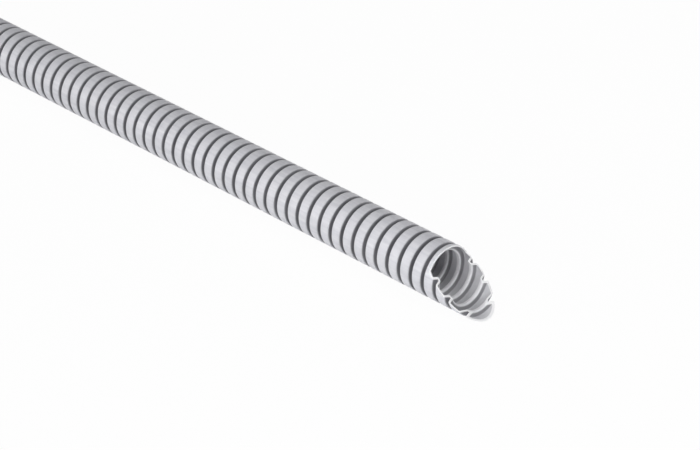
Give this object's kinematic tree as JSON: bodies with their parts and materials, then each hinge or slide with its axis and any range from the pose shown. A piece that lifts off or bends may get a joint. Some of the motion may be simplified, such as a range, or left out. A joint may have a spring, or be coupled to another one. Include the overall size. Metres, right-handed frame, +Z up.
{
  "type": "corrugated conduit",
  "caption": "Straight cut of ring-corrugated plastic conduit for drawing cables through, cut square at one end and on a long bevel at the other.",
  "frame": {"origin": "middle of the length and width, on the plane the conduit lies on", "axes": "+X along the tube, from the square end towards the bevelled end; +Z up; the bevel's tip lies at the bottom"},
  "size_m": [1, 0.025, 0.025],
  "materials": {
    "grey_plastic": "satin moulded light grey"
  },
  "bodies": {
    "root": {"conduit": "grey_plastic"}
  },
  "joints": []
}
